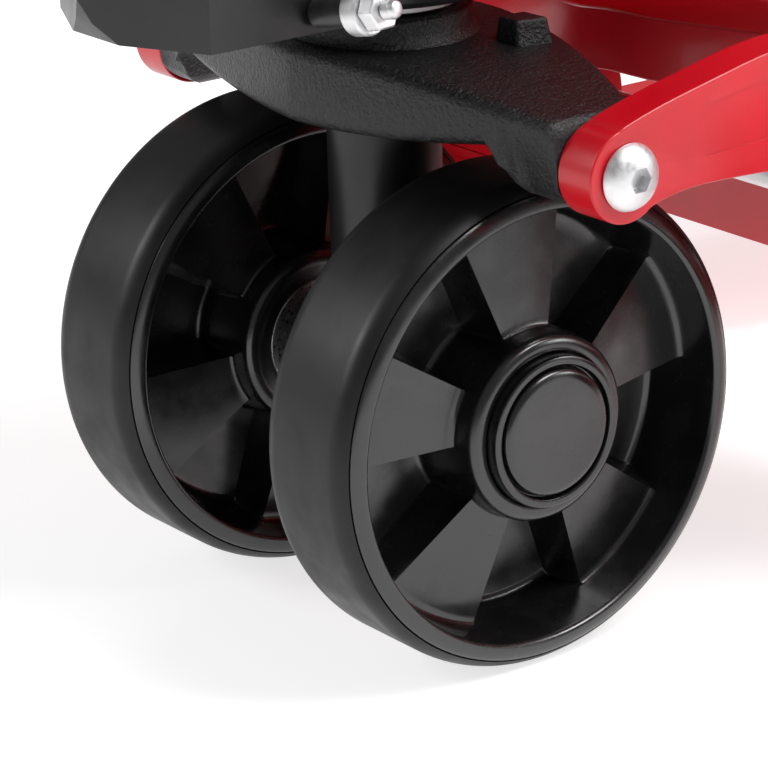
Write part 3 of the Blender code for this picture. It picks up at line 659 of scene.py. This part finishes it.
def crank_arm(name, side):
    """Lifting arm: forged bar with rounded edges and a shallow panel in its outer face."""
    top = [(-3.5, 209), (14.5, 214), (38, 218.8), (61.5, 223.6), (84, 225), (108, 220), (132, 208),
           (156, 188)]
    bottom = [(152, 120), (126, 150), (103, 170), (84, 178.5), (62.4, 181.2), (29, 182.8), (14.8, 180.7)]
    outline = top + arc(SHAFT, 30, 60, -130, 24) + bottom + arc(PIVOT, 16.5, -50, -258, 24)
    outline = fillet(outline, 12.0, 3)
    arm = plate("crank_arm_%s_finish" % name, outline, "Y", side * ARM_IN, side * ARM_OUT, 3.4, 5)
    panel = fillet([(29.7, 209.8), (62, 214.2), (90, 214.5), (118, 204), (128, 190), (112, 176), (92, 189),
                    (62.3, 193.2), (30.7, 192.2)], 4.5)
    recess = plate("recess", panel, "Y", side * (ARM_OUT - 0.5), side * (ARM_OUT + 5), 0.01, 1)
    bores = [turned("bore", [(radius, -20), (radius, 20)], at(x, side * 126, z), (0, 1, 0), 64)
             for radius, (x, z) in ((8.25, PIVOT), (SHAFT_R + 0.2, SHAFT))]
    cut(settle(arm), recess, *bores)
    finished(arm, "crank", "red_paint", ["crank_arm_" + name], 50.0, True)


def pivot_screw(name, side):
    """Button-head screw with a hexagon socket."""
    node = "pivot_screw_" + name
    centre = at(PIVOT[0], side * (ARM_OUT + 0.3), PIVOT[1])
    head = [(0.3, 6.2), (4.4, 6.15), (6.8, 5.6), (9.0, 4.5), (10.6, 3.1), (11.5, 1.6), (11.8, 0.7),
            (11.6, 0.15), (11.0, 0.0), (8.0, 0.0), (8.0, -39.5), (7.0, -40.9), (0.3, -40.9)]
    screw = turned(node + "_finish", head, centre, (0, side, 0), 96)
    socket = turned("socket", [(4.7, 2.2), (4.7, 9.0)], centre, (0, side, 0), 6)
    cut(screw, socket)
    finished(screw, "bracket", "zinc", [node], 35.0)


# ---------------------------------------------------------------- pump unit

HANDLE = (-62, 345)      # handle pivot, release lever pivot: x and z
RELEASE = (20, 318)
PLUNGER_X = -84

def pump_body():
    """King post and pump block in one turned piece, axle boss, lugs, release stud, plunger bridge."""
    post = [(17.5, 92), (20.4, 96), (20.6, 130), (20.9, 180), (20.9, 229.2), (20.9, 234.8), (43.6, 234.8),
            (45.2, 235.6), (46.0, 237.4), (46.0, 290.5), (44.5, 292.8), (36.0, 298.6), (34.6, 300.4),
            (34.0, 303), (34.0, 392.5), (33.2, 394.4), (31.5, 395.0), (14.6, 395.0), (14.6, 270)]
    column = turned("pump_column_finish", post, at(0, 0, 0), steps=128)
    finished(column, "pump", "grey_casting", ["pump_body"], 40.0)
    boss = [(10.4, -37.9), (17.6, -37.9), (19.0, -36.5), (19.0, 36.5), (17.6, 37.9), (10.4, 37.9)]
    axle_boss = turned("axle_boss", boss, at(0, 0, 90), (0, 1, 0), 96, True)
    finished(axle_boss, "pump", "grey_casting", (), 40.0)
    for name, side in SIDES.items():
        outline = strap((-14, RELEASE[1]), 18, HANDLE, 14)
        lug = plate("handle_lug_" + name, outline, "Y", side * 13, side * 24, 1.2)
        bore = turned("bore", [(8.2, -20), (8.2, 20)], at(HANDLE[0], side * 18, HANDLE[1]), (0, 1, 0), 48)
        cut(settle(lug), bore)
        finished(lug, "pump", "grey_casting", (), 40.0, True)
    pin = [(0.3, 20), (3, 20), (3, 43.4), (2.4, 44), (0.3, 44)]
    stud = turned("release_stud", pin, at(RELEASE[0], 0, RELEASE[1]), (0, 1, 0), 48)
    finished(stud, "pump", "grey_casting", (), 40.0)
    outline = fillet([(-98, -13.5), (-20, -13.5), (-20, 13.5), (-98, 13.5)], 12, 8)
    bridge = plate("plunger_bridge", outline, "Z", 257.2, 281.8, 1.2)
    cut(settle(bridge), turned("bore", [(8.4, -30), (8.4, 30)], at(PLUNGER_X, 0, 270), (0, 0, 1), 64))
    finished(bridge, "pump", "grey_casting", (), 40.0, True)


def strap(first, first_r, second, second_r, steps=16):
    """Outline of a strap with round ends."""
    dx = second[0] - first[0]
    dz = second[1] - first[1]
    heading = math.degrees(math.atan2(dz, dx))
    spread_angle = math.degrees(math.acos((first_r - second_r) / math.hypot(dx, dz)))
    around = arc(first, first_r, heading + spread_angle, heading + 360 - spread_angle, steps)
    return around + arc(second, second_r, heading - spread_angle, heading + spread_angle, steps)


def thrust_bearing():
    """Two hardened washers with the ball cage between them."""
    profile = [(21.5, 5.3), (28.2, 5.3), (28.6, 4.9), (28.6, 3.5), (28.3, 3.2), (27.6, 3.1), (27.6, 2.3),
               (28.3, 2.2), (28.6, 1.9), (28.6, 0.5), (28.2, 0.1), (21.5, 0.1)]
    obj = turned("thrust_bearing_finish", profile, at(0, 0, 229), steps=128, ring=True)
    finished(obj, "pump", "zinc", ["thrust_bearing"], 30.0)


def adjuster():
    """Sleeve with its collar, chamfered hexagon nut and threaded stud; the sleeve's tube is black paint as
    painted shade.
    """
    start = at(-63, -46, 241.8)
    heading = Vector((0.16, -0.97, 0.18)).normalized()
    # The tube of the zinc sleeve is given black paint: painted shade where it lies in shadow by the cover.
    tube = [(0.3, 1.9), (5.2, 1.9), (5.2, 19.4), (0.3, 19.4)]
    finished(turned("adjuster_tube_painted_shade", tube, start, heading, 96), "pump", "black_paint")
    collar = [(0.3, 19.5), (7.9, 19.5), (8.6, 20.3), (8.6, 25.6), (7.9, 26.5), (0.3, 26.5)]
    sleeve = turned("adjuster_sleeve_finish", collar, start, heading, 96)
    finished(sleeve, "pump", "zinc", ["adjuster_sleeve"])
    nut = turned("adjuster_nut_finish", [(7.4, 26.8), (7.4, 33.0)], start, heading, 6)
    soften(nut, 0.7, 2)
    finished(nut, "pump", "zinc", ["adjuster_nut"], flat=True)
    thread = [(0.3, 33.2)]
    pitch = 0.8
    for i in range(5):
        base = 33.4 + pitch * i
        thread += [(3.0, base), (3.4, base + pitch * 0.4), (3.4, base + pitch * 0.6)]
    thread += [(3.0, 37.6), (2.9, 38.2), (2.3, 38.8), (0.3, 38.8)]
    stud = turned("adjuster_stud_finish", thread, start, heading, 64)
    finished(stud, "pump", "zinc", ["adjuster_stud"], 60.0)


# ---------------------------------------------------------------- everything else

def round_pieces():
    """Plain round pieces, made smooth, with chamfered ends."""
    bar("wheel_axle", 10.0)
    bar("torsion_shaft", SHAFT_R)
    for name in SIDES:
        bar("tip_pin_" + name, 10.0)
        bar("roller_axle_" + name, 8.0)
        load_roller(name)
    bar("handle_pin", 8.0)
    bar("pump_roller_pin", 6.0)
    bar("pump_plunger", 8.0, (0, 0, 1))
    ram()


def bar(node, radius, axis=(0, 1, 0)):
    """Round bar with chamfered ends in place of a CAD node that lies along an axis."""
    low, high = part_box(node)
    along = axis.index(1)
    half = (high[along] - low[along]) / 2 / MM
    profile = [(0.3, half), (radius - 1, half), (radius, half - 1), (radius, 1 - half), (radius - 1, -half),
               (0.3, -half)]
    obj = turned(node + "_finish", profile, centre_of(node), axis, 64)
    finished(obj, BODY_OF[node], SLOT_OF[node], [node])


def load_roller(name):
    """Nylon load roller with a steel bush and recessed faces."""
    node = "load_roller_" + name
    half = [(8.5, 33.5), (14, 33.5), (15, 31.5), (28, 31.5), (30, 34.2), (31, 35), (34.6, 35), (36.3, 34.2),
            (37, 32.4)]
    profile = half + [(r, -h) for r, h in reversed(half)]
    obj = turned(node + "_finish", profile, centre_of(node), (0, 1, 0), 128, True)
    finished(obj, BODY_OF[node], "nylon", [node])


def ram():
    """Ram with its domed head, and the gland nut round it."""
    profile = [(0.3, 424.3), (5, 424.0), (8.5, 422.9), (11.3, 420.6), (13.1, 417.8), (14, 414.5), (14, 266),
               (0.3, 266)]
    finished(turned("ram_finish", profile, at(0, 0, 0), steps=96), "ram", "chrome", ["ram"])
    gland = [(14.7, 395.3), (22.6, 395.3), (24, 396.6), (24, 402.2), (22.4, 404), (16.4, 404), (14.7, 402.4)]
    nut = turned("gland_nut_finish", gland, at(0, 0, 0), steps=96, ring=True)
    finished(nut, "pump", "zinc", ["gland_nut"])


def handle():
    """Round tube and head of the handle, which leans back from its pivot."""
    base = at(HANDLE[0], 0, HANDLE[1])
    lean = math.radians(8)
    heading = Vector((-math.sin(lean), 0, math.cos(lean)))
    tube = [(14.1, 70.5), (17, 70.5), (17, 639.8), (14.1, 639.8)]
    pipe = turned("handle_tube_finish", tube, base, heading, 96, True)
    finished(pipe, "handle", "red_paint", ["handle_tube"])
    head = [(17.6, 600), (22.6, 600), (24, 601.6), (23.8, 612), (23.2, 613), (23.2, 617), (23.6, 618),
            (22.6, 640), (21.2, 660), (20.2, 685), (19.0, 697), (17.4, 699.8), (4.3, 699.8), (4.3, 642),
            (17.6, 641)]
    top = turned("handle_head_finish", head, base, heading, 96, True)
    finished(top, "handle", "black_grip", ["handle_head"])


def coil_spring():
    """Round wire spring round the plunger."""
    node = "plunger_spring"
    low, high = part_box(node)
    centre = (low + high) / 2
    wire = 1.5
    radius = (high.x - low.x) / 2 / MM - wire
    height = (high.z - low.z) / MM - 2 * wire
    curve = bpy.data.curves.new(node + "_finish", "CURVE")
    curve.dimensions = "3D"
    curve.bevel_depth = wire * MM
    curve.bevel_resolution = 4
    curve.use_fill_caps = True
    spline = curve.splines.new("POLY")
    turns = 5
    steps = 32
    spline.points.add(turns * steps)
    for i, point in enumerate(spline.points):
        angle = 2 * math.pi * i / steps
        rise = low.z + (wire + height * i / (turns * steps)) * MM
        point.co = (centre.x + radius * MM * math.cos(angle), centre.y + radius * MM * math.sin(angle),
                    rise, 1.0)
    obj = bpy.data.objects.new(node + "_finish", curve)
    bpy.context.scene.collection.objects.link(obj)
    curve.materials.append(MATERIALS["steel"])
    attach(obj, BODY_OF[node])
    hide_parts(node)


# CAD nodes whose own shape is kept, with the width of their rounded edges in millimetres.
REFINED = {
    "fork_right": 1.6, "fork_left": 1.6, "load_stop_plate": 1.2, "head_plate": 1.4, "cheek_right": 1.0,
    "cheek_left": 1.0, "front_wall": 1.0, "top_plate": 1.6, "rod_lever_right": 1.6, "rod_lever_left": 1.6,
    "push_rod_right": 1.0, "push_rod_left": 1.0, "roller_bracket_right": 0.8, "roller_bracket_left": 0.8,
    "entry_roller_right": 0.6, "entry_roller_left": 0.6, "front_cover": 0.9, "filler_plug": 0.5,
    "release_lever": 0.6, "spring_cap": 0.4, "handle_base": 1.4, "pump_roller": 0.6, "grip_loop": 0.2,
    "control_lever": 1.2,
}


def truck():
    """Every piece of the truck but the spring."""
    wheels()
    base_bracket()
    for name, side in SIDES.items():
        crank_arm(name, side)
        pivot_screw(name, side)
    pump_body()
    thrust_bearing()
    adjuster()
    round_pieces()
    handle()
    for node, edge in REFINED.items():
        refine(node, edge)


# ---------------------------------------------------------------- stage

# Place of each lamp in metres, its size in metres and its power in watts.
LAMPS = {
    "key": ((0.5, -1.5, 2.6), 1.5, 85),
    "left": ((-2.3, 1.2, 1.3), 0.9, 22),
    "right": ((1.5, -1.9, 1.0), 0.8, 18),
}
PAPER = 0.55             # floor: its colour, and the light it gives by itself
PAPER_GLOW = 0.72
SKY = 0.22
LENS = 163.5
CAMERA_AT = (-738.0, -972.8, 516.7)
CAMERA_RIGHT = (0.7928, -0.6091, -0.0225)
CAMERA_UP = (0.2211, 0.2529, 0.9419)


def stage():
    """Pale floor and soft studio light."""
    bpy.ops.mesh.primitive_plane_add(size=60)
    floor = bpy.context.object
    floor.name = "floor"
    floor.location = (0, 0, -0.4 * MM)
    paper = bpy.data.materials.new("floor")
    paper.use_nodes = True
    shader = paper.node_tree.nodes["Principled BSDF"]
    shader.inputs["Base Color"].default_value = (PAPER, PAPER, PAPER, 1)
    shader.inputs["Roughness"].default_value = 1.0
    shader.inputs["Emission Color"].default_value = (1, 1, 1, 1)
    shader.inputs["Emission Strength"].default_value = PAPER_GLOW
    floor.data.materials.append(paper)
    world = bpy.data.worlds.new("studio")
    bpy.context.scene.world = world
    world.use_nodes = True
    world.node_tree.nodes["Background"].inputs["Color"].default_value = (1, 1, 1, 1)
    world.node_tree.nodes["Background"].inputs["Strength"].default_value = SKY
    for name, (place, size, watts) in LAMPS.items():
        lamp(name, place, size, watts)


def lamp(name, place, size, watts):
    """Square lamp that faces the steering end."""
    light = bpy.data.lights.new(name, "AREA")
    light.size = size
    light.energy = watts
    obj = bpy.data.objects.new(name, light)
    bpy.context.scene.collection.objects.link(obj)
    obj.location = place
    aim = at(0, -60, 140) - Vector(place)
    obj.rotation_mode = "QUATERNION"
    obj.rotation_quaternion = aim.to_track_quat("-Z", "Y")


def camera():
    """Close view of the steering end from the truck's right, a little above the wheels."""
    data = bpy.data.cameras.new("camera")
    data.lens = LENS
    data.sensor_width = 36
    data.clip_end = 100
    obj = bpy.data.objects.new("camera", data)
    bpy.context.scene.collection.objects.link(obj)
    right = Vector(CAMERA_RIGHT)
    up = Vector(CAMERA_UP)
    turn = Matrix((right, up, right.cross(up))).transposed().to_4x4()
    obj.matrix_world = Matrix.Translation(at(*CAMERA_AT)) @ turn
    bpy.context.scene.camera = obj


camera()
truck()
coil_spring()
stage()
bpy.context.scene.view_settings.view_transform = "Standard"
